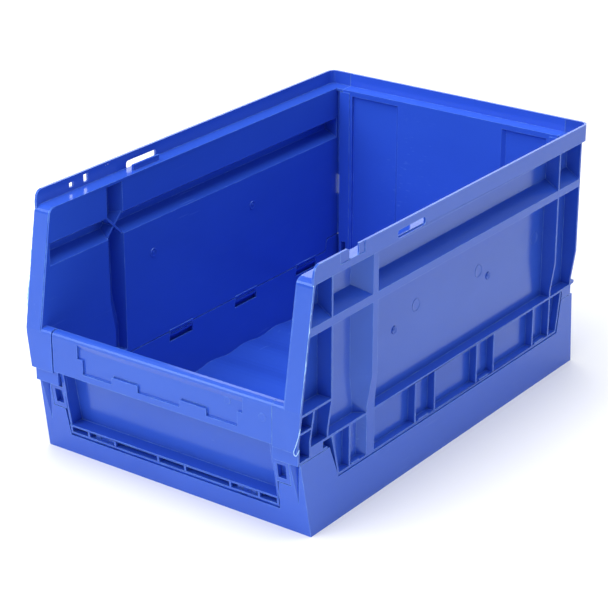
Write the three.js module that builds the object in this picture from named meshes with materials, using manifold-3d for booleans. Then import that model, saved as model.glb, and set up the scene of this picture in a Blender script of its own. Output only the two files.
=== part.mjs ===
// Collapsible open-front storage crate.
//
// Millimetres, +Z up, +Y towards the closed back, +X to the right seen from the open front.
// The origin is on the ground under the middle of the base's footprint.
// A base tray carries four walls on hinge pins: two ribbed side walls, a back wall and a low front flap.
// The two side walls are mirror images, apart from the small openings in the rim's lip.

import * as THREE from "three";
import { mergeVertices } from "three/addons/utils/BufferGeometryUtils.js";
import Module from "manifold-3d";

const wasm = await Module();
wasm.setup();

// ---------------------------------------------------------------- driving dimensions

const SKIN = 2.2;              // wall thickness of the mouldings
const GAP = 0.3;               // least clearance between neighbouring mouldings
const RIB = 2.0;               // thickness of the stiffening ribs
const FAR = 300;               // past the whole crate, for cutting tools

const BASE_HALF_WIDTH = 149.2; // footprint, at the ground
const BASE_HALF_LENGTH = 223.4;
const POST_TOP = 72.5;         // top of the base's four corner posts
const POST_HALF_WIDTH = 146.6; // at the post tops, from the draft of the side faces
const FRONT_LEAN = 0.16;       // the base's front face and the flap lean forward by this slope
const SIDE_TOP = 39.8;         // top of the base's sides between the posts
const FRONT_TOP = 19.5;        // top of the base's front between the posts
const FLOOR_TOP = 4.5;         // mean height of the corrugated floor
const WAVE_HEIGHT = 1.4;
const WAVE_PITCH = 53.5;

const INNER_X = 134.4;         // inner face of the side walls and of the base's inner walls
const SHEET_X = 136.4;         // outer face of the side walls' sheet
const ROOT_X = 136.2;          // the ribs start just inside the sheet
const BASE_INNER_X = 135.8;    // outer face of the base's inner walls
const BAND_SHEET_X = 136.1;    // the lower band's sheet stands outside the base's inner wall,
const BAND_OUTER_X = 139.4;    // thick enough to cover the side hinges
const BAND_X = 146.8;          // ribs of the lower band
const CREST_X = 151.2;         // ribs of the upper panel
const BAND_TOP = 90;           // the ribs slope out from the band's plane to the crest's above this
const KNEE = 120;
const SEAM = 60.3;             // top of the base's inner wall
const REAR_SEAM = 73.7;        // and where it rises at the rear corners

const RIM_HALF_WIDTH = 152.2;  // outside of the rim's upstanding lip
const LIP_INNER_X = 150.0;
const RIM_REAR_Y = 230.7;
const RIM_TOP = 249.5;
const RIM_CORNER = 8.0;
const SKIRT_BOTTOM = 232.8;
const LEDGE_TOP = 235.9;       // the crate above stands on this ledge
const LEDGE_BOTTOM = 233.6;
const WRAP_END = 127.0;        // the side walls' rim turns the rear corners up to here

const NOSE_Y = -243.0;         // front of the side walls' flange and of the bar
const FLANGE_BOTTOM = 86.9;
const FLANGE_KNEE = 124.8;     // the flange leans back above this height
const FLANGE_LEAN = 0.171;
const FLANGE_SKIN = 2.4;
const FLANGE_ROUND = 7.0;      // the flange turns into the ledge with this radius
const FLANGE_INNER_X = 135.7;
const SHOULDER_X = 123.0;      // the flange widens inwards to here beside the bar
const FOOT_BOTTOM = 73.2;
const FOOT_INNER_X = 120.3;    // the foot reaches in to the flap's cheek
const REAR_PLATE_Y = 219.5;    // rear face of the side walls' rear plate

const BAR_HALF_WIDTH = 121.5;  // on the left; on the right the bar reaches closer to the shoulder
const BAR_BOTTOM = 88.9;
const BAR_TOP = 127.9;
const BAR_DEPTH = 8.0;
const BAR_ROUND = 4.5;
const POCKET_DEPTH = 2.0;      // the label holder in the bar

const BACK_Y = 214.3;          // inner face of the back wall
const BACK_SKIN = 2.0;
const BACK_RIB_Y = 220.4;
const STILE_X = 130.0;         // outer edge of the back wall

// Radii of the hinges. The side hinges lie within the thickness of the walls.
const SIDE_HINGE = { pin: 0.9, bore: 1.15, lug: 1.8 };
const CROSS_HINGE = { pin: 1.5, bore: 1.8, lug: 3.6 };
const SIDE_STATIONS = [-150.5, -47.0, 56.3, 160.0];
const SIDE_AXIS = { x: 136.5, z: 55.5 };
const WINDOW_HALF = 17.75;     // half the length of a hinge window
const WINDOW_BOTTOM = 49.6;
const BACK_STATIONS = [-90, 0, 90];
const BACK_AXIS = { y: 216.5, z: 25.0 };
const FLAP_STATIONS = [-81, 81];
const FLAP_AXIS = { y: -220.0, z: 25.3 };
const LUG_OFFSET = 7.6;        // bearing lugs of the back wall and of the flap, from a station's middle
const LUG_HALF = 2.6;
const KNUCKLE_HALF = 4.4;

const BLUE = 0x2a50d8;
const STEEL = 0xb9bcc2;

// ---------------------------------------------------------------- solids

// A closed three.js geometry as a manifold solid.
function solidOf(geometry) {
  const bare = geometry.index ? geometry.clone() : geometry;
  bare.deleteAttribute("normal");
  bare.deleteAttribute("uv");
  const merged = mergeVertices(bare, 1e-4);
  return new wasm.Manifold(new wasm.Mesh({
    numProp: 3,
    vertProperties: new Float32Array(merged.attributes.position.array),
    triVerts: new Uint32Array(merged.index.array),
  }));
}

function geometryOf(solid) {
  const mesh = solid.getMesh();
  const geometry = new THREE.BufferGeometry();
  geometry.setAttribute("position", new THREE.BufferAttribute(new Float32Array(mesh.vertProperties), 3));
  geometry.setIndex(new THREE.BufferAttribute(new Uint32Array(mesh.triVerts), 1));
  geometry.computeVertexNormals();
  return geometry;
}

// The same solid on the other side of the plane x = 0.
function mirrored(solid) {
  const mesh = solid.getMesh();
  const points = new Float32Array(mesh.vertProperties);
  for (let i = 0; i < points.length; i += 3) points[i] = -points[i];
  const faces = new Uint32Array(mesh.triVerts);
  for (let i = 0; i < faces.length; i += 3) {
    const first = faces[i];
    faces[i] = faces[i + 1];
    faces[i + 1] = first;
  }
  return new wasm.Manifold(new wasm.Mesh({ numProp: 3, vertProperties: points, triVerts: faces }));
}

function join(...solids) {
  return solids.flat().reduce((sum, solid) => sum.add(solid));
}

function cut(solid, ...tools) {
  return tools.flat().reduce((rest, tool) => rest.subtract(tool), solid);
}

// A prism along "x", "y" or "z". Its outline is given as [y, z], [x, z] or [x, y] points.
function prism(axis, outline, from, to) {
  const flat = axis === "y" ? outline.map(([u, v]) => [v, u]) : outline;
  const shape = new THREE.Shape(flat.map(([u, v]) => new THREE.Vector2(u, v)));
  const geometry = new THREE.ExtrudeGeometry(shape, { depth: to - from, bevelEnabled: false });
  geometry.translate(0, 0, from);
  const [ex, ey, ez] = [new THREE.Vector3(1, 0, 0), new THREE.Vector3(0, 1, 0), new THREE.Vector3(0, 0, 1)];
  const basis = { x: [ey, ez, ex], y: [ez, ex, ey], z: [ex, ey, ez] }[axis];
  geometry.applyMatrix4(new THREE.Matrix4().makeBasis(...basis));
  return solidOf(geometry);
}

function box(x0, x1, y0, y1, z0, z1) {
  const geometry = new THREE.BoxGeometry(x1 - x0, y1 - y0, z1 - z0);
  geometry.translate((x0 + x1) / 2, (y0 + y1) / 2, (z0 + z1) / 2);
  return solidOf(geometry);
}

// A solid through stacked convex sections, each a list of the same number of [x, y, z] points.
function loft(sections) {
  const count = sections[0].length;
  const positions = sections.flat(2);
  const index = [];
  for (let s = 0; s + 1 < sections.length; s += 1) {
    for (let i = 0; i < count; i += 1) {
      const a = s * count + i;
      const b = s * count + ((i + 1) % count);
      index.push(a, b, b + count, a, b + count, a + count);
    }
  }
  const last = (sections.length - 1) * count;
  for (let i = 1; i + 1 < count; i += 1) {
    index.push(0, i + 1, i);
    index.push(last, last + i, last + i + 1);
  }
  const geometry = new THREE.BufferGeometry();
  geometry.setAttribute("position", new THREE.Float32BufferAttribute(positions, 3));
  geometry.setIndex(index);
  return solidOf(geometry);
}

// Points of an arc around [cu, cv], from one angle to another, in degrees.
function arc(cu, cv, radius, from, to, steps = 5) {
  const points = [];
  for (let i = 0; i <= steps; i += 1) {
    const angle = THREE.MathUtils.degToRad(from + ((to - from) * i) / steps);
    points.push([cu + radius * Math.cos(angle), cv + radius * Math.sin(angle)]);
  }
  return points;
}

function circle(cu, cv, radius, sides = 12) {
  return arc(cu, cv, radius, 0, 360, sides).slice(0, sides);
}

// A rectangle with rounded corners, as an outline.
function roundedRectangle(u0, u1, v0, v1, radius) {
  return [
    ...arc(u1 - radius, v0 + radius, radius, -90, 0, 3),
    ...arc(u1 - radius, v1 - radius, radius, 0, 90, 3),
    ...arc(u0 + radius, v1 - radius, radius, 90, 180, 3),
    ...arc(u0 + radius, v0 + radius, radius, 180, 270, 3),
  ];
}

function mix(a, b, t) {
  return a + (b - a) * t;
}

// ---------------------------------------------------------------- base tray

// The leaning plane of the base's front, at a height.
function frontPlane(z) {
  return -BASE_HALF_LENGTH - FRONT_LEAN * z;
}

// Rectangle of the base's outside at a height, drawn in by an inset.
function baseSection(z, inset) {
  const x = mix(BASE_HALF_WIDTH, POST_HALF_WIDTH, z / POST_TOP) - inset;
  const front = frontPlane(z) + inset;
  const rear = BASE_HALF_LENGTH - inset;
  return [[-x, front, z], [x, front, z], [x, rear, z], [-x, rear, z]];
}

// Where the sides dip between the corner posts.
const DIP = { front: -181.0, frontPost: -193.0, rear: 194.2, rearPost: 202.2 };
const DIP_RISE = POST_TOP - SIDE_TOP;

function baseSkirt() {
  const shell = cut(
    loft([baseSection(0, 0), baseSection(POST_TOP, 0)]),
    loft([baseSection(-1, SKIN), baseSection(POST_TOP + 1, SKIN)]),
  );
  const above = 2;
  const sideDip = prism("x", [
    [DIP.front, SIDE_TOP], [DIP.rear, SIDE_TOP],
    [mix(DIP.rear, DIP.rearPost, above), SIDE_TOP + above * DIP_RISE],
    [mix(DIP.front, DIP.frontPost, above), SIDE_TOP + above * DIP_RISE],
  ], -FAR, FAR);
  const step = 47.6;
  const frontGap = prism("y", [
    [-118.8, FRONT_TOP], [118.8, FRONT_TOP], [120.6, step], [134.0, step], [134.0, FAR],
    [-134.0, FAR], [-134.0, step], [-120.6, step],
  ], -FAR, -205);
  const rearDip = prism("y", [[-112, SIDE_TOP], [112, SIDE_TOP], [120, 80], [-120, 80]], 205, FAR);
  return cut(shell, sideDip, frontGap, rearDip);
}

// The ledge between the skirt and the inner wall on the right, its slopes and the caps of the posts.
// It lies just below the skirt's edge.
function baseLedge() {
  const run = 1.0;
  const drop = 0.2;
  const [post, side] = [POST_TOP - drop, SIDE_TOP - drop];
  return prism("x", [
    [frontPlane(post) + 1, post - SKIN], [DIP.frontPost - run - drop, post - SKIN],
    [DIP.front - run - drop, side - SKIN], [DIP.rear + run + drop, side - SKIN],
    [DIP.rearPost + run + drop, post - SKIN], [BASE_HALF_LENGTH - 1, post - SKIN],
    [BASE_HALF_LENGTH - 1, post], [DIP.rearPost + drop, post], [DIP.rear + drop, side],
    [DIP.front - drop, side], [DIP.frontPost - drop, post], [frontPlane(post) + 1, post],
  ], INNER_X, POST_HALF_WIDTH - 0.6);
}

// The inner wall on the right has a window at each hinge, and rises in an S-curve at the rear corner.
function baseInnerWall() {
  const bend = 5.0;
  const low = arc(191.7, SEAM + bend, bend, -90, -20, 3);
  const high = arc(201.4, REAR_SEAM - bend, bend, 160, 90, 3);
  const wall = prism("x", [
    [frontPlane(0) + 1, 1], [BASE_HALF_LENGTH - 1, 1], [BASE_HALF_LENGTH - 1, REAR_SEAM],
    ...high.reverse(), ...low.reverse(),
    [-180.2, SEAM], [-193.6, POST_TOP - 0.1], [frontPlane(POST_TOP) + 1, POST_TOP - 0.1],
  ], INNER_X, BASE_INNER_X);
  const windows = SIDE_STATIONS.map((y) => (
    box(INNER_X - 2, BASE_INNER_X + 2, y - WINDOW_HALF, y + WINDOW_HALF, WINDOW_BOTTOM, SEAM + 1)
  ));
  return cut(wall, windows);
}

function baseFloor() {
  const end = BASE_HALF_LENGTH - 1;
  const steps = 66;
  const top = [];
  for (let i = 0; i <= steps; i += 1) {
    const y = mix(end, -end, i / steps);
    top.push([y, FLOOR_TOP + WAVE_HEIGHT * Math.cos((2 * Math.PI * y) / WAVE_PITCH)]);
  }
  return prism("x", [[-end, 0], [end, 0], ...top], -INNER_X - 0.6, INNER_X + 0.6);
}

// The front corner post on the right is thicker behind its leaning face, with a V-shaped recess.
function frontPost() {
  const section = (z, depth) => [
    [134.0, frontPlane(z) + 0.5, z], [145.6, frontPlane(z) + 0.5, z],
    [145.6, frontPlane(z) + depth, z], [134.0, frontPlane(z) + depth, z],
  ];
  const middle = 140.0;
  const recess = (z, half, depth) => [
    [middle - half, frontPlane(z) - 0.4, z], [middle + half, frontPlane(z) - 0.4, z],
    [middle, frontPlane(z) + depth, z],
  ];
  return {
    block: loft([section(24, 3), section(POST_TOP - 0.5, 9)]),
    groove: loft([recess(31, 0.2, 0.2), recess(POST_TOP + 2, 5.9, 6.5)]),
  };
}

// Lugs beside the hinge windows, on the ledge, which hold the pins of the right side wall.
function sideLugs() {
  const [inner, outer] = [WINDOW_HALF + 0.15, WINDOW_HALF + 3.75];
  const outline = [
    [BASE_INNER_X - 0.6, SIDE_TOP - 1], [SIDE_AXIS.x + SIDE_HINGE.lug, SIDE_TOP - 1],
    ...arc(SIDE_AXIS.x, SIDE_AXIS.z, SIDE_HINGE.lug, 0, 90, 4),
    [BASE_INNER_X - 0.6, SIDE_AXIS.z + SIDE_HINGE.lug],
  ];
  const lugs = SIDE_STATIONS.flatMap((y) => [
    prism("y", outline, y - outer, y - inner), prism("y", outline, y + inner, y + outer),
  ]);
  return join(lugs);
}

// Bores for the right side wall's pins, through the base's lugs and the wall's knuckles.
function sideBores() {
  const half = WINDOW_HALF + 4.0;
  const outline = circle(SIDE_AXIS.x, SIDE_AXIS.z, SIDE_HINGE.bore);
  return SIDE_STATIONS.map((y) => prism("y", outline, y - half, y + half));
}

// Lugs that stand on the floor and hold the pins of the back wall or of the front flap.
function floorLugs(stations, axis) {
  const outline = [
    [axis.y - CROSS_HINGE.lug, 1], [axis.y + CROSS_HINGE.lug, 1],
    ...arc(axis.y, axis.z, CROSS_HINGE.lug, 0, 180, 6),
  ];
  const lugs = stations.flatMap((x) => [-1, 1].map((side) => {
    const middle = x + side * LUG_OFFSET;
    return prism("x", outline, middle - LUG_HALF, middle + LUG_HALF);
  }));
  return cut(join(lugs), prism("x", circle(axis.y, axis.z, CROSS_HINGE.bore), -FAR, FAR));
}

function baseTray() {
  const { block, groove } = frontPost();
  const right = cut(join(baseLedge(), baseInnerWall(), block, sideLugs()), sideBores());
  const body = cut(join(baseSkirt(), baseFloor(), right, mirrored(right)), groove, mirrored(groove));
  return join(body, floorLugs(BACK_STATIONS, BACK_AXIS), floorLugs(FLAP_STATIONS, FLAP_AXIS));
}

// ---------------------------------------------------------------- side wall (right)

// Outer edge of the ribs at a height.
function ribEdge(z) {
  const t = Math.min(1, Math.max(0, (z - BAND_TOP) / (KNEE - BAND_TOP)));
  return mix(BAND_X, CREST_X, t);
}

// A rib that stands across the wall at y, between two heights.
function uprightRib(y, z0, z1, thickness = RIB) {
  const edge = [BAND_TOP, KNEE].filter((z) => z > z0 && z < z1).map((z) => [ribEdge(z), z]);
  const outline = [[ROOT_X, z0], [ribEdge(z0), z0], ...edge, [ribEdge(z1), z1], [ROOT_X, z1]];
  return prism("y", outline, y - thickness / 2, y + thickness / 2);
}

// A rib that lies along the wall.
function shelf(y0, y1, z, thickness = RIB) {
  return box(ROOT_X, ribEdge(z), y0, y1, z - thickness / 2, z + thickness / 2);
}

// A sloping rib of the lower band, to the left of the line from one [y, z] point to the next.
function slopingRib([ya, za], [yb, zb]) {
  const reach = RIB / Math.hypot(yb - ya, zb - za);
  const [ny, nz] = [(za - zb) * reach, (yb - ya) * reach];
  return prism("x", [[ya, za], [yb, zb], [yb + ny, zb + nz], [ya + ny, za + nz]], ROOT_X, BAND_X);
}

const MOUTH = { front: -148.7, rear: -126.6, bottom: 182.5, top: 204.0 };

// The hollow rib along the wall: its outside, and the groove that it leaves inside.
function longRib() {
  const behindFlange = (z) => [flangeFace(z) + 0.8, z];
  const outside = cut(
    prism("y", [
      [ROOT_X, 181.2], [CREST_X, 188.0], [CREST_X, 195.5], [ROOT_X, 205.4],
    ], -235, REAR_PLATE_Y - 1),
    prism("x", [[-FAR, 170], behindFlange(170), behindFlange(220), [-FAR, 220]], 100, FAR),
  );
  const groove = prism("y", [
    [INNER_X - 0.6, MOUTH.bottom - 0.3], [CREST_X - SKIN, 189.2], [CREST_X - SKIN, 194.8],
    [INNER_X - 0.6, MOUTH.top + 0.4],
  ], -226.8, BACK_Y);
  return { outside, groove };
}

// The hollow rib up the wall, wider and shallower below the knee.
function tallRib() {
  const section = (z, root, crest, rootFront, front, rear, rootRear) => [
    [root, rootFront, z], [crest, front, z], [crest, rear, z], [root, rootRear, z],
  ];
  const outside = loft([
    section(41.4, ROOT_X, BAND_X, -145.6, -138.0, -126.0, -124.6),
    section(BAND_TOP, ROOT_X, BAND_X, -145.6, -138.0, -126.0, -124.6),
    section(KNEE, ROOT_X, CREST_X, -149.6, -136.5, -129.0, -125.0),
    section(LEDGE_BOTTOM + 0.5, ROOT_X, CREST_X, -149.6, -136.5, -129.0, -125.0),
  ]);
  const root = INNER_X - 0.6;
  const groove = loft([
    section(65, root, BAND_X - SKIN, -143.4, -136.4, -128.0, -126.8),
    section(BAND_TOP, root, BAND_X - SKIN, -143.4, -136.4, -128.0, -126.8),
    section(KNEE, root, CREST_X - SKIN, MOUTH.front - 0.4, -135.8, -130.5, MOUTH.rear),
    section(LEDGE_BOTTOM - 0.6, root, CREST_X - SKIN, MOUTH.front - 0.4, -135.8, -130.5, MOUTH.rear),
  ]);
  return { outside, groove };
}

// Two thin webs that cross where the grooves meet, flush with the inner face and inside the hollow ribs.
function crossWebs(ribs) {
  const half = 0.8;
  const web = (ya, za, yb, zb) => {
    const slope = Math.hypot(yb - ya, zb - za);
    const [ny, nz] = [((za - zb) * half) / slope, ((yb - ya) * half) / slope];
    return prism("x", [
      [ya + ny, za + nz], [yb + ny, zb + nz], [yb - ny, zb - nz], [ya - ny, za - nz],
    ], INNER_X + 0.1, CREST_X - 1);
  };
  const [front, rear] = [MOUTH.front - 1, MOUTH.rear + 1];
  const [bottom, top] = [MOUTH.bottom - 1, MOUTH.top + 1];
  return join(web(front, bottom, rear, top), web(front, top, rear, bottom)).intersect(ribs);
}

// The sheet is flush with the base's inner wall above the seam, and stands outside it below.
function sideSheet() {
  const lift = 0.9;
  const bend = 5.0;
  const upper = prism("x", [
    [flangeFace(FOOT_BOTTOM) + 6, FOOT_BOTTOM], [-192.2, FOOT_BOTTOM], [-179.6, SEAM + lift],
    [191.2, SEAM + lift], ...arc(191.2, SEAM + lift + bend, bend, -90, -20, 3),
    [196.2, REAR_SEAM - 2], [198.4, REAR_SEAM + lift],
    [REAR_PLATE_Y, REAR_SEAM + lift], [REAR_PLATE_Y, LEDGE_TOP - 0.5],
    ...flangeTurn(FLANGE_ROUND - 0.5), [flangeFace(FLANGE_KNEE) + 0.6, FLANGE_KNEE],
    [NOSE_Y + 1, FLANGE_BOTTOM + 1], [flangeFace(FOOT_BOTTOM) + 6, FLANGE_BOTTOM + 1],
  ], INNER_X, SHEET_X);
  const lower = prism("x", [
    [-180.4, 41.0], [193.6, 41.0], [200.4, 80], [-190.2, 80],
  ], BAND_SHEET_X, BAND_OUTER_X);
  return join(upper, lower);
}

// Front face of the flange at a height: upright up to its knee, then leaning back.
function flangeFace(z) {
  return NOSE_Y + FLANGE_LEAN * Math.max(0, z - FLANGE_KNEE);
}

// The turn from the flange's leaning face into the ledge: an arc from the top towards the front.
const TURN = {
  y: flangeFace(LEDGE_TOP - FLANGE_ROUND) + FLANGE_ROUND * Math.hypot(1, FLANGE_LEAN),
  z: LEDGE_TOP - FLANGE_ROUND,
};

function flangeTurn(radius) {
  return arc(TURN.y, TURN.z, radius, 90, 180 - THREE.MathUtils.radToDeg(Math.atan(FLANGE_LEAN)));
}

// A lip and ledge that run along the wall and turn the rear corner.
function sideRim() {
  const corner = { x: RIM_HALF_WIDTH - RIM_CORNER, y: RIM_REAR_Y - RIM_CORNER };
  const front = flangeFace(LEDGE_TOP);
  const thick = RIM_HALF_WIDTH - LIP_INNER_X;
  const lip = prism("z", [
    [LIP_INNER_X, front], [RIM_HALF_WIDTH, front],
    ...arc(corner.x, corner.y, RIM_CORNER, 0, 90), [WRAP_END, RIM_REAR_Y],
    [WRAP_END, RIM_REAR_Y - thick], ...arc(corner.x, corner.y, RIM_CORNER - thick, 90, 0),
  ], SKIRT_BOTTOM, RIM_TOP);
  const ledge = prism("z", [
    [INNER_X, TURN.y + 0.6], [RIM_HALF_WIDTH - 1, TURN.y + 0.6],
    ...arc(corner.x, corner.y, RIM_CORNER - 1, 0, 90), [WRAP_END, RIM_REAR_Y - 1],
    [WRAP_END, BACK_Y], [INNER_X, BACK_Y],
  ], LEDGE_BOTTOM, LEDGE_TOP);
  const round = 7.0;
  const topFront = -223.3;
  const nose = prism("x", [
    [-FAR, FAR], [-FAR, 237.2], [front - 0.4, 237.2],
    ...arc(topFront + round, RIM_TOP - round, round, 180, 90, 4), [topFront + round, FAR],
  ], LIP_INNER_X - 1, FAR);
  return cut(join(lip, ledge), nose);
}

// The long handle slot, in the lips of both side walls.
function rimSlot() {
  return prism("x", roundedRectangle(-102.0, -59.0, 234.8, 242.3, 2.8), LIP_INNER_X, FAR);
}

// A small upright rib on the ledge, beside the slot.
function slotGuard() {
  return box(139.4, 141.4, -104.5, -67.0, LEDGE_TOP - 1, 241.6);
}

// The right lip has a notch open to the top, between two shallow recesses.
function rightLipCuts() {
  const notch = prism("x", [
    [-176.5, FAR], [-176.5, 249.4], [-174.6, 248.7], [-173.4, 247.0], [-173.4, 240.8], [-172.4, 239.8],
    [-160.2, 239.8], [-159.2, 240.8], [-159.2, FAR],
  ], LIP_INNER_X - 1, FAR);
  const marks = [[-187, -172], [-160.5, -151]].map(([y0, y1]) => (
    box(RIM_HALF_WIDTH - 0.5, FAR, y0, y1, 239.2, FAR)
  ));
  return [notch, ...marks];
}

// The left lip has two small closed windows there.
function leftLipCuts() {
  return [
    box(-FAR, -LIP_INNER_X + 1, -180.6, -174.6, 239.5, 244),
    box(-FAR, -LIP_INNER_X + 1, -161.1, -155.1, 239, 246.4),
  ];
}

// The rounded top of the bar and of the shoulders beside it, drawn in by an inset.
function barRound(inset) {
  return arc(NOSE_Y + BAR_ROUND + inset, BAR_TOP - BAR_ROUND - inset, BAR_ROUND - inset, 90, 180, 4);
}

// The front flange follows the leaning front edge, and widens at its foot to meet the bar.
function frontFlange() {
  const back = NOSE_Y + FLANGE_SKIN;
  const strip = prism("x", [
    [NOSE_Y, FLANGE_BOTTOM], [NOSE_Y, FLANGE_KNEE], ...flangeTurn(FLANGE_ROUND).reverse(),
    [TURN.y + 2, LEDGE_TOP], [TURN.y + 2, LEDGE_TOP - FLANGE_SKIN],
    ...flangeTurn(FLANGE_ROUND - FLANGE_SKIN), [back, FLANGE_KNEE], [back, FLANGE_BOTTOM],
  ], FLANGE_INNER_X, RIM_HALF_WIDTH);
  const taper = prism("y", [
    [148, FLANGE_BOTTOM - 1], [FAR, FLANGE_BOTTOM - 1], [FAR, KNEE], [RIM_HALF_WIDTH, KNEE],
  ], -FAR, -205);
  const block = (inset) => [
    [NOSE_Y + inset, FLANGE_BOTTOM - inset], [NOSE_Y + BAR_DEPTH - inset, FLANGE_BOTTOM - inset],
    [NOSE_Y + BAR_DEPTH - inset, BAR_TOP - inset],
    ...barRound(inset / 2),
  ];
  const shoulder = cut(
    prism("x", block(0), SHOULDER_X, FLANGE_INNER_X + 1),
    prism("x", block(SKIN), SHOULDER_X + 1.6, FLANGE_INNER_X - 1.6),
  );
  return join(cut(strip, taper), shoulder);
}

// The foot that stands on the base's front post, and the plates over the posts.
function feet() {
  const front = NOSE_Y + 4;
  const plateTop = 82.5;
  return join(
    box(SHOULDER_X + 1.2, BAND_X, front, front + SKIN, FOOT_BOTTOM, FLANGE_BOTTOM + 3),
    box(FOOT_INNER_X, SHOULDER_X + 2, front, front + SKIN, FOOT_BOTTOM, FLANGE_BOTTOM - 0.5),
    box(SHOULDER_X + 1.2, INNER_X + 1, front, front + 8, FOOT_BOTTOM, FOOT_BOTTOM + SKIN),
    box(INNER_X, BAND_X, front, -197, FOOT_BOTTOM, FOOT_BOTTOM + SKIN),
    box(BAND_X - SKIN, BAND_X, -222, -203, FOOT_BOTTOM + 0.8, plateTop),
    box(BAND_X - SKIN, BAND_X, 202.6, REAR_PLATE_Y - 0.4, FOOT_BOTTOM + 0.8, plateTop),
    box(ROOT_X, BAND_X, 201.5, REAR_PLATE_Y, FOOT_BOTTOM, FOOT_BOTTOM + SKIN),
  );
}

// Knuckles around the hinge pins, ribbed where they show through the windows.
function sideKnuckles() {
  const half = WINDOW_HALF - 0.45;
  return SIDE_STATIONS.map((y) => {
    const knuckle = prism("y", [
      ...arc(SIDE_AXIS.x, SIDE_AXIS.z, SIDE_HINGE.lug - 0.2, 180, 360, 8),
      [SIDE_AXIS.x + SIDE_HINGE.lug - 0.2, SEAM + 2.1], [SIDE_AXIS.x - 3.2, SEAM + 2.1],
    ], y - half, y + half);
    return cut(knuckle, [57.5, 59.4].map((z) => (
      box(INNER_X - 2, INNER_X + 1.5, y - half + 1.4, y + half - 1.4, z - 0.45, z + 0.45)
    )));
  });
}

// Room in the lower band's sheet for the base's lugs and for the windows' depth.
function sideHingeCuts() {
  const [inner, outer] = [WINDOW_HALF - 0.2, WINDOW_HALF + 4.1];
  const top = SIDE_AXIS.z + SIDE_HINGE.lug + 0.5;
  const reach = SIDE_AXIS.x + SIDE_HINGE.lug + 0.4;
  return SIDE_STATIONS.flatMap((y) => [
    box(BASE_INNER_X, reach, y - outer, y - inner, 38, top),
    box(BASE_INNER_X, reach, y + inner, y + outer, 38, top),
    box(BASE_INNER_X, reach - 0.2, y - inner, y + inner, 43, SIDE_AXIS.z - SIDE_HINGE.lug + 0.4),
  ]);
}

// The right side wall without what differs between the two lips.
function plainSideWall() {
  const long = longRib();
  const tall = tallRib();
  const bandRibs = [-163.5, -60.2, -28.1, 44.0, 74.6, 147.3];
  const lips = [[-160, -148.5], [-54, -38], [50, 66], [153, 169]];
  const rearPlate = join(
    uprightRib(REAR_PLATE_Y - SKIN / 2, FOOT_BOTTOM, LEDGE_BOTTOM + 0.5, SKIN),
    box(STILE_X + 0.6, SHEET_X, REAR_PLATE_Y - SKIN, REAR_PLATE_Y, REAR_SEAM + 1.8, LEDGE_BOTTOM + 0.5),
    box(STILE_X + 0.7, INNER_X - 0.5, REAR_PLATE_Y - SKIN + 0.2, REAR_PLATE_Y - 0.2, 69, REAR_SEAM + 3),
  );
  const shelfZ = 82.9;
  const skeleton = join(
    sideSheet(), long.outside, tall.outside, rearPlate, frontFlange(), feet(), sideRim(),
    uprightRib(-196.4, shelfZ, LEDGE_BOTTOM + 0.5), uprightRib(178, 42, LEDGE_BOTTOM + 0.5),
    uprightRib(-221.7, FOOT_BOTTOM + 1, KNEE + 0.6),
    shelf(-222.2, REAR_PLATE_Y - 0.5, shelfZ), shelf(NOSE_Y + 1.5, -196.4, KNEE + 0.6),
    shelf(NOSE_Y + 1.5, -221.7, 103, 1.8), shelf(-180.8, 194, 41.5, SKIN),
    slopingRib([-190.6, 81.3], [-180.4, 40.4]), slopingRib([193.6, 40.4], [200.8, 81]),
    bandRibs.map((y) => uprightRib(y, 42, shelfZ)),
    lips.map(([a, b]) => box(BAND_X - 2.0, BAND_X - 0.2, a, b, 42, 43.9)),
  );
  const lockSlit = box(STILE_X + 1.2, INNER_X - 0.4, REAR_PLATE_Y - SKIN - 1, REAR_PLATE_Y + 1, 118.6, 141);
  const carved = cut(skeleton, long.groove, tall.groove, rimSlot(), sideHingeCuts(), lockSlit);
  const beak = prism("x", [
    [REAR_PLATE_Y - 1, 90], [REAR_PLATE_Y - 1, 82.5], [225.2, 83.6], [226, 86],
  ], BAND_X - 3.2, BAND_X);
  const webs = crossWebs(join(long.outside, tall.outside));
  return join(cut(join(carved, sideKnuckles()), sideBores()), webs, beak, slotGuard());
}

// ---------------------------------------------------------------- back wall

// The end panels are set back from the middle one behind a slope, and the stiles stand proud of them.
const END_PANELS = [[-115, -58], [64, 115]];
const PANEL_STEP = 3.0;
const PANEL_SLOPE = 3.9;

// The recess of an end panel, as seen from above: its slope is on the side towards the middle.
function endPanelRecess([a, b]) {
  const [slopeA, slopeB] = a > 0 ? [PANEL_SLOPE, 0] : [0, PANEL_SLOPE];
  const front = BACK_Y - 0.01;
  const deep = BACK_Y + PANEL_STEP;
  return prism("z", [
    [a, BACK_Y - 2], [b, BACK_Y - 2], [b, front], [b - slopeB, deep], [a + slopeA, deep], [a, front],
  ], 34, LEDGE_BOTTOM - 3);
}

function backKnuckle(x) {
  return prism("x", [
    ...arc(BACK_AXIS.y, BACK_AXIS.z, CROSS_HINGE.lug, -180, 0, 8),
    [BACK_AXIS.y + CROSS_HINGE.lug, 32], [BACK_AXIS.y - 1.5, 32], [BACK_AXIS.y - CROSS_HINGE.lug, 29],
  ], x - KNUCKLE_HALF, x + KNUCKLE_HALF);
}

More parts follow.
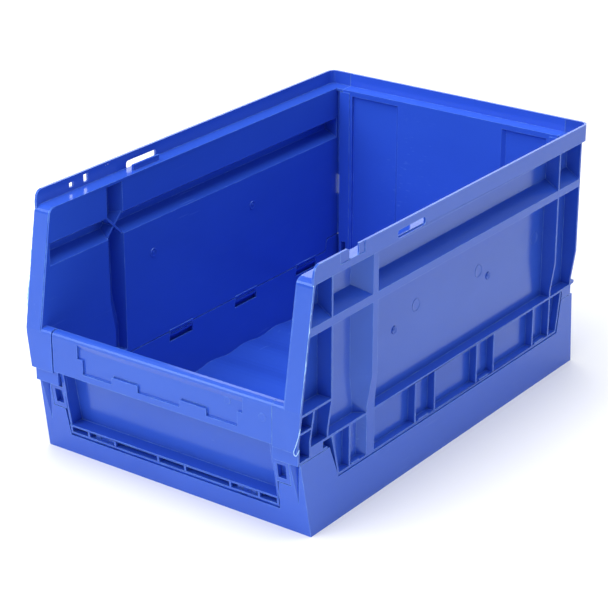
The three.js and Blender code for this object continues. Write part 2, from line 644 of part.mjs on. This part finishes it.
function backWall() {
  const under = LEDGE_BOTTOM - 0.4;
  const behind = BACK_Y + BACK_SKIN - 0.5;
  const ledgeEnd = WRAP_END - GAP;
  const bottom = BACK_AXIS.z - 3;
  const panelBack = BACK_Y + PANEL_STEP + BACK_SKIN;
  const stiles = [[-STILE_X, -118], [118, STILE_X]];
  const ribX = [-129, -117, -61, 0, 61, 117, 129];
  const ribZ = [33, 84, 136, 188];
  const solids = [
    box(-STILE_X, STILE_X, BACK_Y, BACK_Y + BACK_SKIN, bottom, under),
    box(-ledgeEnd, ledgeEnd, BACK_Y, BACK_Y + BACK_SKIN, under - 1, LEDGE_TOP),
    box(-ledgeEnd, ledgeEnd, BACK_Y, RIM_REAR_Y - 1, LEDGE_BOTTOM, LEDGE_TOP),
    box(-ledgeEnd, ledgeEnd, RIM_REAR_Y - SKIN, RIM_REAR_Y, SKIRT_BOTTOM, RIM_TOP),
    ...END_PANELS.map(([a, b]) => box(a - 1.6, b + 1.6, BACK_Y + 1, panelBack, 31, under)),
    ...stiles.map(([a, b]) => box(a, b, BACK_Y - 0.8, BACK_Y + 1, 40, under)),
    ...ribX.map((x) => box(x - 1, x + 1, behind, BACK_RIB_Y, 32, under)),
    ...ribZ.map((z) => box(-STILE_X, STILE_X, behind, BACK_RIB_Y, z - 1, z + 1)),
    ...BACK_STATIONS.map(backKnuckle),
  ];
  const lugRoom = LUG_HALF + 0.6;
  const cuts = [
    prism("x", circle(BACK_AXIS.y, BACK_AXIS.z, CROSS_HINGE.bore), -FAR, FAR),
    ...END_PANELS.map(endPanelRecess),
    ...[-124.4, 124.4].map((x) => box(x - 2.8, x + 2.8, BACK_Y - 2, BACK_Y + BACK_SKIN + 0.2, 53, 68)),
    ...BACK_STATIONS.flatMap((x) => [-1, 1].map((side) => {
      const middle = x + side * LUG_OFFSET;
      return box(middle - lugRoom, middle + lugRoom, BACK_Y - 4, BACK_RIB_Y + 4, 0, BACK_AXIS.z + 4.8);
    })),
  ];
  return cut(join(solids), cuts);
}

// ---------------------------------------------------------------- front flap

// A plate parallel to the leaning front face, from a depth behind it.
function leaningPlate(x0, x1, z0, z1, depth, thickness) {
  return prism("x", [
    [frontPlane(z0) + depth, z0], [frontPlane(z0) + depth + thickness, z0],
    [frontPlane(z1) + depth + thickness, z1], [frontPlane(z1) + depth, z1],
  ], x0, x1);
}

// The label holder: a pocket that fades out below the bar's rounded top, with two retaining tabs.
function labelPocket() {
  const floor = NOSE_Y + POCKET_DEPTH;
  const wide = prism("x", [
    [-FAR, 109], [floor, 109], [floor, 118.4], [NOSE_Y - 0.1, 123.25], [-FAR, 123.25],
  ], -92.2, 92.2);
  const narrow = box(-86.3, 86.3, -FAR, floor, 95, 110);
  const spans = [[-53, -23.3], [23.3, 53]];
  const tabs = spans.map(([a, b]) => prism("y", roundedRectangle(a, b, 90, 101.6, 1.4), -FAR, FAR));
  const slits = spans.map(([a, b]) => box(a + 1.4, b - 1.4, -FAR, floor + 0.8, 101.6, 103));
  return join(cut(join(wide, narrow), tabs), slits);
}

// The trough along the flap's foot is open to the front in a row of slots, divided by ribs.
function flapStrip() {
  const [end, edge] = [118.2, 2.0];
  const posts = [-96.7, -65.6, -15.3, 15.3, 65.6, 96.7];
  const bounds = [-end + edge - 1, ...posts, end - edge + 1];
  const slots = bounds.slice(1).map((x, i) => box(bounds[i] + 1, x - 1, -FAR, -213.4, 23.8, 29.3));
  const trough = join(
    leaningPlate(-end, end, 22, 31.2, 0.2, SKIN),
    prism("x", [
      [frontPlane(22) + 1, 22], [-211.4, 22], [-211.4, 30.2], [frontPlane(30.2) + 1, 30.2],
    ], -end, end),
  );
  return cut(trough, slots);
}

function flapEar(side) {
  const across = (a, b) => (side < 0 ? [-b, -a] : [a, b]);
  const ear = leaningPlate(...across(118.4, 133.6), 48.2, 70.4, 0.2, 8);
  return cut(ear, leaningPlate(...across(121, 130), 53, 66.8, -1, 7.2));
}

// The front edge of a cheek, which closes the space up to the side wall's foot.
function flapArm(side) {
  const [near, far] = [115.8, FOOT_INNER_X - 0.7];
  const across = side < 0 ? [-far, -near] : [near, far];
  return leaningPlate(...across, 66, BAR_BOTTOM + 0.6, 0.2, 3);
}

function frontFlap() {
  const panelFace = (z) => mix(-213.5, -229.5, (z - 31) / 95);
  const barBack = NOSE_Y + BAR_DEPTH;
  const front = 3.8;
  const bar = prism("x", [
    [NOSE_Y, BAR_BOTTOM], [NOSE_Y + front, BAR_BOTTOM], [NOSE_Y + front, BAR_TOP - 5.4],
    [barBack - SKIN, BAR_TOP - 5.4], [barBack - SKIN, 108.4],
    [panelFace(85), 85], [panelFace(85) + SKIN, 84], [barBack, 109],
    [barBack, BAR_TOP], ...barRound(0),
  ], -BAR_HALF_WIDTH, SHOULDER_X - GAP);
  const floor = 29.4;
  const panel = prism("x", [
    [panelFace(floor), floor], [panelFace(floor) + SKIN, floor],
    [panelFace(86) + SKIN, 86], [panelFace(86), 86],
  ], -118.8, 118.8);
  const sill = prism("x", [
    [frontPlane(floor) + 1, floor], [panelFace(floor) + 1, floor],
    [panelFace(31) + 1, 31.2], [frontPlane(31) + 1, 31.2],
  ], -118.2, 118.2);
  const cheek = [
    [frontPlane(floor) + 1, floor], [panelFace(floor) + 1, floor],
    [panelFace(88) + 1, 88], [barBack - 1, 108.5], [NOSE_Y + 1, 108.5],
    [NOSE_Y + 1, BAR_BOTTOM], [frontPlane(88) + 0.2, 88],
  ];
  const solids = [
    bar, panel, sill, flapStrip(), prism("x", cheek, 116.6, 118.8), prism("x", cheek, -118.8, -116.6),
    flapEar(-1), flapEar(1), flapArm(-1), flapArm(1),
    ...FLAP_STATIONS.map((x) => prism("x", [
      ...arc(FLAP_AXIS.y, FLAP_AXIS.z, CROSS_HINGE.lug - 0.2, -180, 0, 8),
      [FLAP_AXIS.y + CROSS_HINGE.lug - 0.2, 30.5], [FLAP_AXIS.y - CROSS_HINGE.lug + 0.2, 30.5],
    ], x - KNUCKLE_HALF, x + KNUCKLE_HALF)),
  ];
  const lugRoom = LUG_HALF + 0.6;
  const around = circle(FLAP_AXIS.y, FLAP_AXIS.z, CROSS_HINGE.lug + 0.5, 16);
  const rooms = FLAP_STATIONS.flatMap((x) => [-1, 1].map((side) => {
    const middle = x + side * LUG_OFFSET;
    return join(
      prism("x", around, middle - lugRoom, middle + lugRoom),
      box(middle - lugRoom, middle + lugRoom, -224.4, -208, 15, FLAP_AXIS.z + 3.9),
    );
  }));
  const bore = prism("x", circle(FLAP_AXIS.y, FLAP_AXIS.z, CROSS_HINGE.bore), -FAR, FAR);
  return cut(join(solids), labelPocket(), rooms, bore);
}

// ---------------------------------------------------------------- assembly

const crate = new THREE.Group();

function addPart(name, solid, color, roughness, metalness) {
  const material = new THREE.MeshStandardMaterial({ color, roughness, metalness });
  const mesh = new THREE.Mesh(geometryOf(solid), material);
  mesh.name = name;
  crate.add(mesh);
}

const addMoulding = (name, solid) => addPart(name, solid, BLUE, 0.35, 0);
const addPin = (name, solid) => addPart(name, solid, STEEL, 0.3, 1);

const plainWall = plainSideWall();
addMoulding("base_tray", baseTray());
addMoulding("right_side_wall", cut(plainWall, rightLipCuts()));
addMoulding("left_side_wall", cut(mirrored(plainWall), leftLipCuts()));
addMoulding("back_wall", backWall());
addMoulding("front_flap", frontFlap());

const SIDE_PIN_HALF = WINDOW_HALF + 3.6;
const SHORT_PIN_HALF = LUG_OFFSET + LUG_HALF;

SIDE_STATIONS.forEach((y, i) => {
  const section = circle(SIDE_AXIS.x, SIDE_AXIS.z, SIDE_HINGE.pin);
  const pin = prism("y", section, y - SIDE_PIN_HALF, y + SIDE_PIN_HALF);
  addPin(`right_hinge_pin_${i + 1}`, pin);
  addPin(`left_hinge_pin_${i + 1}`, mirrored(pin));
});

function addCrossPins(name, stations, axis) {
  const section = circle(axis.y, axis.z, CROSS_HINGE.pin);
  stations.forEach((x, i) => {
    const pin = prism("x", section, x - SHORT_PIN_HALF, x + SHORT_PIN_HALF);
    addPin(`${name}_${i + 1}`, pin);
  });
}

addCrossPins("back_hinge_pin", BACK_STATIONS, BACK_AXIS);
addCrossPins("front_hinge_pin", FLAP_STATIONS, FLAP_AXIS);

export default crate;
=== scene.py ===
"""Collapsible storage crate: the looks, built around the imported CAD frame.

Metres, +Z up, open front towards -Y, +X to the right seen from the front.
"""

import math
import random

import bmesh
import bpy
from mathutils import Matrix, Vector


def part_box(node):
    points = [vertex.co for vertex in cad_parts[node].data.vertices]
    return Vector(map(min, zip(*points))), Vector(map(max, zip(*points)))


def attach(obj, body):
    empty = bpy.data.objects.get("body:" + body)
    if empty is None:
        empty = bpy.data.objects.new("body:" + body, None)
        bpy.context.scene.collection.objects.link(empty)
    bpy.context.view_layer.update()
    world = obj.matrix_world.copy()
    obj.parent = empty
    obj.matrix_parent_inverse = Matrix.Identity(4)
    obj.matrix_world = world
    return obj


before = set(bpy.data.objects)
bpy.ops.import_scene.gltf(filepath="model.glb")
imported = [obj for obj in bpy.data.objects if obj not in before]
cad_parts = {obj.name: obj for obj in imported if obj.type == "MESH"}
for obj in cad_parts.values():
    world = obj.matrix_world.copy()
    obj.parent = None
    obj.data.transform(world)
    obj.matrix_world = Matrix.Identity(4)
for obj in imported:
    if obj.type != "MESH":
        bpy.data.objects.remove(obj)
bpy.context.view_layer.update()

MM = 0.001

MOULDINGS = ["base_tray", "right_side_wall", "left_side_wall", "back_wall", "front_flap"]
PINS = [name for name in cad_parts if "hinge_pin" in name]

# Camera: where the photographer stood, and a long lens.
CAMERA_AT = Vector((1.06995, -1.50095, 0.89037))
CAMERA_LOOKS = Vector((-0.54035, 0.74371, -0.39361))
CAMERA_LENS = 125.07
SENSOR = 36.0
CAMERA_NEAR, CAMERA_FAR = 0.05, 50

# Studio: a large pale floor, a weak bluish surrounding light, and four soft lamps.
FLOOR_SIZE = 14
FLOOR_COLOUR = (0.95, 0.95, 0.955, 1)
FLOOR_ROUGHNESS = 0.85
WORLD_COLOUR = (0.93, 0.98, 1.0, 1)
WORLD_STRENGTH = 0.34
# Each lamp: name, place, the point it aims at, size, watts.
LAMPS = [
    ("front_soft", (-0.9, -2.4, 2.2), (0, 0, 0.12), (2.8, 2.0), 66),
    ("top_soft", (0.0, -0.1, 2.8), (0, 0, 0), (2.4, 2.4), 76),
    ("right_soft", (2.7, 1.7, 1.3), (0, 0, 0.12), (1.8, 1.4), 9),
    ("back_soft", (-1.9, 2.3, 1.25), (0, 0, 0.15), (2.6, 1.0), 15),
]

POLYPROPYLENE = (0.032, 0.104, 0.620, 1.0)
POLYPROPYLENE_DEEP = (0.027, 0.090, 0.570, 1.0)
POLYPROPYLENE_PALE = (0.047, 0.135, 0.660, 1.0)
# A pale blue: whitened plastic, and also a painted highlight on the rounded edges.
WHITENED_AND_HIGHLIGHT = (0.24, 0.50, 0.92, 1.0)
FLASH = (0.52, 0.74, 0.97, 1.0)
STEEL = (0.55, 0.56, 0.58, 1.0)
STEEL_DULL = (0.40, 0.41, 0.43, 1.0)

PLASTIC_GLOSS = 0.16
PLASTIC_IOR = 1.49
PLASTIC_SPECULAR = 0.62
PLASTIC_SPECULAR_TINT = (0.66, 0.93, 1.0, 1)
# How far the pale edge reaches: whitened wear, and a painted highlight along the edges.
EDGE_WEAR_AND_HIGHLIGHT_RADIUS = 0.7 * MM

# How the plastic flowed into each mould, as a stretch of its texture.
ALONG_Y = (1.0, 0.45, 1.0)
ALONG_X = (0.45, 1.0, 1.0)
FLOWS = {
    "base_tray": ALONG_Y, "right_side_wall": ALONG_Y, "left_side_wall": ALONG_Y,
    "back_wall": ALONG_X, "front_flap": ALONG_X,
}
# Painted light: some mouldings made brighter or darker than the base, standing in for how much
# light falls on each, the back wall most of all.
PAINTED_LIGHT_TONES = {"back_wall": 1.16, "right_side_wall": 0.97, "front_flap": 0.96}

# The rounding of the mouldings' edges. Only creases sharper than the bevel angle are rounded.
MOULD_RADIUS = 0.55 * MM
FLAT_ANGLE = math.radians(0.6)
BEVEL_ANGLE = math.radians(24)


# ---------------------------------------------------------------- camera, floor and light

def make_camera():
    data = bpy.data.cameras.new("camera")
    data.lens = CAMERA_LENS
    data.sensor_width = SENSOR
    data.clip_start = CAMERA_NEAR
    data.clip_end = CAMERA_FAR
    camera = bpy.data.objects.new("camera", data)
    bpy.context.scene.collection.objects.link(camera)
    camera.location = CAMERA_AT
    camera.rotation_euler = CAMERA_LOOKS.to_track_quat("-Z", "Y").to_euler()
    bpy.context.scene.camera = camera


def make_light(name, at, target, size, watts):
    data = bpy.data.lights.new(name, "AREA")
    data.shape = "RECTANGLE"
    data.size, data.size_y = size
    data.energy = watts
    light = bpy.data.objects.new(name, data)
    bpy.context.scene.collection.objects.link(light)
    light.location = at
    light.rotation_euler = (Vector(target) - Vector(at)).to_track_quat("-Z", "Y").to_euler()


def make_studio():
    bpy.ops.mesh.primitive_plane_add(size=FLOOR_SIZE, location=(0, 0, 0))
    floor = bpy.context.object
    floor.name = "studio_floor"
    material = bpy.data.materials.new("studio_floor")
    material.use_nodes = True
    shader = material.node_tree.nodes["Principled BSDF"]
    shader.inputs["Base Color"].default_value = FLOOR_COLOUR
    shader.inputs["Roughness"].default_value = FLOOR_ROUGHNESS
    floor.data.materials.append(material)

    world = bpy.data.worlds.new("studio")
    bpy.context.scene.world = world
    world.use_nodes = True
    background = world.node_tree.nodes["Background"]
    background.inputs["Color"].default_value = WORLD_COLOUR
    background.inputs["Strength"].default_value = WORLD_STRENGTH
    for lamp in LAMPS:
        make_light(*lamp)

    view = bpy.context.scene.view_settings
    view.view_transform = "Standard"
    view.look = "None"


# ---------------------------------------------------------------- materials

class Nodes:
    """Small helpers for one material's node tree."""

    def __init__(self, name):
        self.material = bpy.data.materials.new(name)
        self.material.use_nodes = True
        self.tree = self.material.node_tree
        self.shader = self.tree.nodes["Principled BSDF"]
        self.place = self.tree.nodes.new("ShaderNodeTexCoord").outputs["Object"]

    def link(self, output, socket):
        self.tree.links.new(output, socket)

    def noise(self, scale, detail, roughness=0.5, stretch=(1, 1, 1)):
        mapping = self.tree.nodes.new("ShaderNodeMapping")
        mapping.inputs["Scale"].default_value = stretch
        self.link(self.place, mapping.inputs["Vector"])
        node = self.tree.nodes.new("ShaderNodeTexNoise")
        node.inputs["Scale"].default_value = scale
        node.inputs["Detail"].default_value = detail
        node.inputs["Roughness"].default_value = roughness
        self.link(mapping.outputs["Vector"], node.inputs["Vector"])
        return node.outputs["Fac"]

    def spread(self, value, low, high, to_low=0.0, to_high=1.0):
        """Stretches the range from low to high over the range from to_low to to_high."""
        node = self.tree.nodes.new("ShaderNodeMapRange")
        node.inputs["From Min"].default_value = low
        node.inputs["From Max"].default_value = high
        node.inputs["To Min"].default_value = to_low
        node.inputs["To Max"].default_value = to_high
        self.link(value, node.inputs["Value"])
        return node.outputs["Result"]

    def math(self, kind, a, b):
        node = self.tree.nodes.new("ShaderNodeMath")
        node.operation = kind
        for socket, value in zip(node.inputs, (a, b)):
            if isinstance(value, (int, float)):
                socket.default_value = value
            else:
                self.link(value, socket)
        return node.outputs["Value"]

    def mix(self, factor, a, b):
        node = self.tree.nodes.new("ShaderNodeMix")
        node.data_type = "RGBA"
        sockets = {s.identifier: s for s in node.inputs}
        self.link(factor, sockets["Factor_Float"])
        for key, value in (("A_Color", a), ("B_Color", b)):
            if isinstance(value, tuple):
                sockets[key].default_value = value
            else:
                self.link(value, sockets[key])
        return next(s for s in node.outputs if s.identifier == "Result_Color")

    def edge(self, radius):
        """0 on flat faces, towards 1 on sharp convex and concave edges."""
        bevel = self.tree.nodes.new("ShaderNodeBevel")
        bevel.samples = 4
        bevel.inputs["Radius"].default_value = radius
        geometry = self.tree.nodes.new("ShaderNodeNewGeometry")
        dot = self.tree.nodes.new("ShaderNodeVectorMath")
        dot.operation = "DOT_PRODUCT"
        self.link(bevel.outputs["Normal"], dot.inputs[0])
        self.link(geometry.outputs["Normal"], dot.inputs[1])
        return self.spread(dot.outputs["Value"], low=0.995, high=0.80)

    def bump(self, height, distance, strength):
        node = self.tree.nodes.new("ShaderNodeBump")
        node.inputs["Distance"].default_value = distance
        node.inputs["Strength"].default_value = strength
        self.link(height, node.inputs["Height"])
        self.link(node.outputs["Normal"], self.shader.inputs["Normal"])


def toned(colour, painted_brightness):
    return tuple(painted_brightness * c for c in colour[:3]) + (1.0,)


def blue_plastic(name, flow, painted_brightness):
    """Polypropylene: cloudy colour along the flow, fine grain, scuffs, and whitened edges that are
    also a painted highlight.
    """
    n = Nodes(name)
    clouds = n.noise(scale=9, detail=4, roughness=0.55, stretch=flow)
    cloud = n.spread(clouds, low=0.35, high=0.68)
    # The brightness factor scales the colour as painted light, for the light that falls on this
    # moulding.
    colour = n.mix(cloud, toned(POLYPROPYLENE_DEEP, painted_brightness), toned(POLYPROPYLENE, painted_brightness))

    streaks = n.noise(scale=26, detail=3, roughness=0.6, stretch=flow)
    streak = n.spread(streaks, low=0.62, high=0.82, to_low=0, to_high=0.20)
    colour = n.mix(streak, colour, toned(POLYPROPYLENE_PALE, painted_brightness))

    # Pale edges: patchy whitened wear, and a painted highlight where light catches the rounded
    # edges.
    patchy = n.spread(n.noise(scale=90, detail=3), low=0.40, high=0.62, to_low=0.35, to_high=0.85)
    worn_and_highlit = n.math("MULTIPLY", n.edge(EDGE_WEAR_AND_HIGHLIGHT_RADIUS), patchy)
    colour = n.mix(worn_and_highlit, colour, WHITENED_AND_HIGHLIGHT)

    scratch_stretch = (flow[0], flow[1] * 0.12, 1.6)
    scratches = n.noise(scale=300, detail=2, roughness=0.5, stretch=scratch_stretch)
    scratch = n.spread(scratches, low=0.66, high=0.72)
    handled = n.spread(n.noise(scale=7, detail=1), low=0.58, high=0.70, to_low=0, to_high=0.13)
    colour = n.mix(n.math("MULTIPLY", scratch, handled), colour, WHITENED_AND_HIGHLIGHT)
    n.link(colour, n.shader.inputs["Base Color"])

    scuffs = n.noise(scale=34, detail=6, roughness=0.7)
    scuff = n.spread(scuffs, low=0.56, high=0.78, to_low=0, to_high=0.10)
    grain = n.noise(scale=1500, detail=2, roughness=0.6)
    fine = n.spread(grain, low=0.3, high=0.7, to_low=0.0, to_high=0.05)
    rough = n.math("ADD", n.math("ADD", scuff, fine), PLASTIC_GLOSS)
    n.link(rough, n.shader.inputs["Roughness"])
    n.shader.inputs["IOR"].default_value = PLASTIC_IOR
    n.shader.inputs["Specular IOR Level"].default_value = PLASTIC_SPECULAR
    n.shader.inputs["Specular Tint"].default_value = PLASTIC_SPECULAR_TINT

    waviness = n.math("MULTIPLY", n.noise(scale=14, detail=2, stretch=flow), 0.040)
    height = n.math("ADD", waviness, n.math("MULTIPLY", grain, 0.005))
    n.bump(height, distance=1.6 * MM, strength=0.50)
    return n.material


def torn_flash():
    """The stretched, whitened plastic of a parting line."""
    n = Nodes("torn_flash")
    pale = n.spread(n.noise(scale=240, detail=3), low=0.35, high=0.7)
    n.link(n.mix(pale, WHITENED_AND_HIGHLIGHT, FLASH), n.shader.inputs["Base Color"])
    rough = n.spread(n.noise(scale=500, detail=2), low=0.3, high=0.7, to_low=0.30, to_high=0.50)
    n.link(rough, n.shader.inputs["Roughness"])
    n.bump(n.noise(scale=1400, detail=2), distance=0.1 * MM, strength=0.4)
    return n.material


def pin_steel():
    """Plain steel with dull patches and fine scratches."""
    n = Nodes("pin_steel")
    n.shader.inputs["Metallic"].default_value = 1.0
    dull = n.spread(n.noise(scale=60, detail=3), low=0.3, high=0.7)
    n.link(n.mix(dull, STEEL, STEEL_DULL), n.shader.inputs["Base Color"])
    scratch = n.noise(scale=900, detail=3, roughness=0.6, stretch=(1, 0.05, 1))
    rough = n.spread(scratch, low=0.3, high=0.7, to_low=0.22, to_high=0.42)
    n.link(rough, n.shader.inputs["Roughness"])
    n.bump(scratch, distance=0.05 * MM, strength=0.4)
    return n.material


# ---------------------------------------------------------------- the mouldings' edges

def finish_moulding(node):
    """Rounds a moulding's hard edges, as the mould's radii do, and keeps its faces flat."""
    for polygon in node.data.polygons:
        polygon.use_smooth = True
    dissolve = node.modifiers.new("flat_faces", "DECIMATE")
    dissolve.decimate_type = "DISSOLVE"
    dissolve.angle_limit = FLAT_ANGLE
    bevel = node.modifiers.new("mould_radius", "BEVEL")
    bevel.width = MOULD_RADIUS
    bevel.segments = 2
    bevel.limit_method = "ANGLE"
    bevel.angle_limit = BEVEL_ANGLE
    bevel.use_clamp_overlap = True
    bevel.miter_outer = "MITER_ARC"
    bevel.harden_normals = False
    shade = node.modifiers.new("face_normals", "WEIGHTED_NORMAL")
    shade.weight = 80
    shade.keep_sharp = False


def paint(node, material):
    node.data.materials.clear()
    node.data.materials.append(material)


# ---------------------------------------------------------------- small moulded pieces

def circle_angles(sides):
    return [2 * math.pi * i / sides for i in range(sides)]


def bridge(mesh, rings):
    """Joins each ring of vertices to the next one. A ring may be one vertex, repeated."""
    for low, high in zip(rings, rings[1:]):
        sides = len(low)
        for i in range(sides):
            j = (i + 1) % sides
            mesh.faces.new(list(dict.fromkeys((low[i], low[j], high[j], high[i]))))


def finished(mesh, name, body, material):
    """Turns a closed bmesh into a named piece of plastic that rides on a body."""
    bmesh.ops.recalc_face_normals(mesh, faces=mesh.faces)
    for face in mesh.faces:
        face.smooth = True
    data = bpy.data.meshes.new(name)
    mesh.to_mesh(data)
    mesh.free()
    piece = bpy.data.objects.new(name, data)
    bpy.context.scene.collection.objects.link(piece)
    piece.data.materials.append(material)
    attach(piece, body)


def turned(name, body, at, normal, profile, material):
    """A closed body of revolution on a wall, from [radius, height] points from axis to axis."""
    sides = 28
    angles = circle_angles(sides)
    mesh = bmesh.new()
    rings = []
    for radius, height in profile:
        if radius == 0:
            rings.append([mesh.verts.new((0, 0, height))] * sides)
        else:
            rings.append([
                mesh.verts.new((radius * math.cos(a), radius * math.sin(a), height))
                for a in angles
            ])
    bridge(mesh, rings)
    turn_to = Vector(normal).to_track_quat("Z", "Y").to_matrix().to_4x4()
    turn_to.translation = Vector(at)
    bmesh.ops.transform(mesh, matrix=turn_to, verts=mesh.verts)
    finished(mesh, name, body, material)


# The foot of a mark is sunk this far into its wall.
MARK_FOOT = -0.3 * MM


def ejector_ring(radius, lift=0.2 * MM):
    """The faint raised rim that an ejector pin leaves."""
    return [
        (0, MARK_FOOT), (radius + 0.45 * MM, MARK_FOOT), (radius + 0.40 * MM, 0.3 * lift),
        (radius + 0.1 * MM, lift), (radius - 0.25 * MM, lift), (radius - 0.6 * MM, 0.25 * lift),
        (radius - 1.2 * MM, 0.03 * MM), (0, 0.03 * MM),
    ]


def gate_mark(radius, lift):
    """The sprue's mark: a rim around a shallow cup with a cut-off nub in its middle."""
    return [
        (0, MARK_FOOT), (radius, MARK_FOOT), (radius - 0.15 * MM, 0.7 * lift),
        (radius - 0.6 * MM, lift), (radius - 1.1 * MM, 0.6 * lift), (0.42 * radius, 0.1 * lift),
        (0.30 * radius, 0.8 * lift), (0.15 * radius, lift), (0, lift),
    ]


def ragged_flash(name, body, path, outward, material, seed):
    """A thin torn fin along a parting edge: its free side wanders, and its ends taper out."""
    start, narrow, wide, step, lean_limit = 0.5 * MM, 0.3 * MM, 1.5 * MM, 0.4, 0.25
    sunk, clear = 0.5 * MM, 0.1 * MM
    root, tip = 0.16 * MM, 0.06 * MM
    taper = 5
    draw = random.Random(seed)
    mesh = bmesh.new()
    outward = Vector(outward).normalized()
    along = (path[-1] - path[0]).normalized()
    across = along.cross(outward).normalized()
    rows = []
    width = start
    count = len(path)
    for i, point in enumerate(path):
        width = min(wide, max(narrow, width + draw.uniform(-step, step) * MM))
        fade = min(1.0, taper * i / count, taper * (count - 1 - i) / count)
        lean = draw.uniform(-lean_limit, lean_limit) * MM * fade
        edge = point + outward * (clear + width * fade) + across * lean
        inner = point - outward * sunk
        rows.append([mesh.verts.new(v) for v in (
            inner - across * root, edge - across * tip, edge + across * tip, inner + across * root,
        )])
    bridge(mesh, rows)
    mesh.faces.new(rows[0])
    mesh.faces.new(rows[-1][::-1])
    finished(mesh, name, body, material)


def smooth_path(points, steps):
    """A Catmull-Rom curve through the points, with so many steps between two of them."""
    path = []
    ends = [points[0]] + points + [points[-1]]
    for a, b, c, d in zip(ends, ends[1:], ends[2:], ends[3:]):
        for i in range(steps):
            t = i / steps
            path.append(0.5 * (2 * b + (c - a) * t + (2 * a - 5 * b + 4 * c - d) * t * t
                               + (3 * b - a - 3 * c + d) * t * t * t))
    path.append(points[-1])
    return path


def torn_thread(name, body, points, radius, material):
    """A torn thread of plastic: a thin, slightly flat body along a smooth path."""
    flatness, end_taper = 0.7, 0.35
    steps, sides = 5, 6
    path = smooth_path(points, steps)
    last = len(path) - 1
    angles = circle_angles(sides)
    mesh = bmesh.new()
    rings = []
    for i, point in enumerate(path):
        along = (path[min(i + 1, last)] - path[max(i - 1, 0)]).normalized()
        turn = along.to_track_quat("Z", "Y")
        thin = radius * (end_taper if i in (0, last) else 1.0)
        rings.append([
            mesh.verts.new(point + turn @ Vector((
                thin * math.cos(a), flatness * thin * math.sin(a), 0,
            )))
            for a in angles
        ])
    bridge(mesh, rings)
    mesh.faces.new(rings[0][::-1])
    mesh.faces.new(rings[-1])
    finished(mesh, name, body, material)


# ---------------------------------------------------------------- build

make_camera()
make_studio()

plastic = {
    name: blue_plastic("plastic_" + name, FLOWS[name], PAINTED_LIGHT_TONES.get(name, 1.0)) for name in MOULDINGS
}
for name in MOULDINGS:
    finish_moulding(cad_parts[name])
    paint(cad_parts[name], plastic[name])

# Marks that the mould leaves on the side walls' sheets, the same on both sides.
# Each kind: name, distance of the face from the middle, which way the face looks, the profile,
# and the places in mm along Y and Z.
WALL_INSIDE = 134.4 * MM
WALL_OUTSIDE = 136.4 * MM
WALL_MARKS = [
    ("outer_gate_mark", WALL_OUTSIDE, 1, gate_mark(3.9 * MM, 0.9 * MM),
     [(-81.5, 138.9), (76.0, 138.0)]),
    ("ejector_mark", WALL_OUTSIDE, 1, ejector_ring(6.0 * MM, 0.35 * MM),
     [(-46.7, 150.7), (58.9, 148.5), (160.3, 149.0)]),
    ("inner_gate_mark", WALL_INSIDE, -1, gate_mark(4.6 * MM, 0.8 * MM),
     [(-85.0, 150.0), (69.0, 151.0)]),
]
for side, sign in (("right", 1), ("left", -1)):
    wall = plastic[side + "_side_wall"]
    for kind, x, facing, profile, places in WALL_MARKS:
        for i, (y, z) in enumerate(places, 1):
            at = (sign * x, y * MM, z * MM)
            turned(f"{side}_{kind}_{i}", "base", at, (sign * facing, 0, 0), profile, wall)

# The parting line's flash, on the outer edge of each flange from its foot to the rim.
RIM_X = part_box("right_side_wall")[1][0]
NOSE_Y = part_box("right_side_wall")[0][1]
FLANGE_FOOT, FLANGE_KNEE, FLANGE_TOP = 122 * MM, 124.8 * MM, 233 * MM
FLANGE_LEAN = 0.171
FLASH_STEPS = 90
FLASH_INSET_X, FLASH_INSET_Y = 0.15 * MM, 0.25 * MM
FLASH_FORWARD = -0.55
flash = torn_flash()
for side, sign, seed in (("right", 1, 7), ("left", -1, 11)):
    path = []
    for i in range(FLASH_STEPS + 1):
        z = FLANGE_FOOT + (FLANGE_TOP - FLANGE_FOOT) * i / FLASH_STEPS
        y = NOSE_Y + FLANGE_LEAN * max(0.0, z - FLANGE_KNEE)
        path.append(Vector((sign * (RIM_X - FLASH_INSET_X), y + FLASH_INSET_Y, z)))
    ragged_flash(f"{side}_flange_flash", "base", path, (sign, FLASH_FORWARD, 0), flash, seed)

# At the foot of the right flange the flash has come loose in a small loop, in mm.
LOOP = [
    (152.3, -243.0, 112.0), (151.0, -243.5, 104.6), (148.5, -244.2, 95.5), (146.5, -244.4, 89.6),
    (147.0, -244.3, 86.6), (148.6, -243.9, 86.0), (149.9, -243.2, 88.6), (149.6, -241.0, 90.5),
]
LOOP_RADIUS = 0.55 * MM
torn_thread("right_flange_curl", "base", [Vector(p) * MM for p in LOOP], LOOP_RADIUS, flash)

# Two ejector marks on the front of the flap: in the label pocket, and beside it on the bar.
BAR_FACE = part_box("front_flap")[0][1]
POCKET_DEPTH = 2.0 * MM
FORWARD = (0, -1, 0)
flap = plastic["front_flap"]
turned("label_ejector_mark", "front_flap", (74.5 * MM, BAR_FACE + POCKET_DEPTH, 115.0 * MM),
       FORWARD, ejector_ring(3.2 * MM), flap)
turned("bar_ejector_mark", "front_flap", (113.0 * MM, BAR_FACE, 111.1 * MM),
       FORWARD, ejector_ring(3.6 * MM), flap)

steel = pin_steel()
for name in PINS:
    paint(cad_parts[name], steel)
